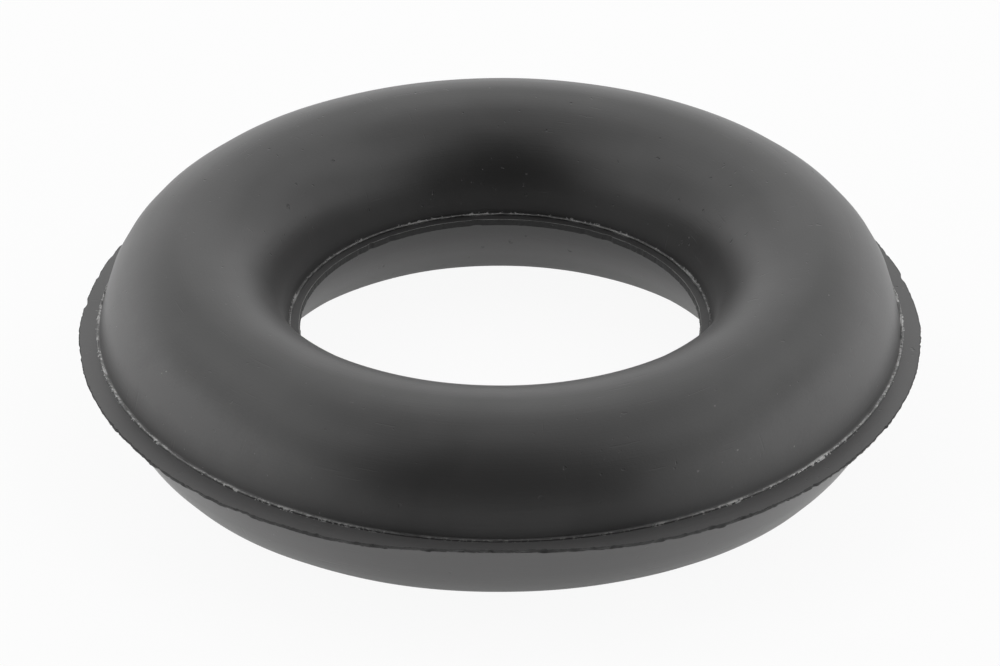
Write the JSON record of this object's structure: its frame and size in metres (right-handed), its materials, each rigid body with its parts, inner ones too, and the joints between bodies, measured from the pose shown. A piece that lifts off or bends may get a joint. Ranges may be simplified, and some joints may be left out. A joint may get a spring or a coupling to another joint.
{
  "type": "exhaust hanger",
  "caption": "Round rubber ring that hangs an exhaust pipe: a fat oval section with a thin moulding flash round its outside and inside its eye.",
  "frame": {"origin": "centre of the eye, on the parting plane at half the ring's height", "axes": "+Z along the axis of the ring; X and Y lie in the parting plane"},
  "size_m": [0.066, 0.0652, 0.0158],
  "materials": {
    "rubber": "satin black moulded rubber with a slight bloom, fine pits and torn flash edges"
  },
  "bodies": {
    "root": {"rubber_ring": "rubber"}
  },
  "joints": []
}
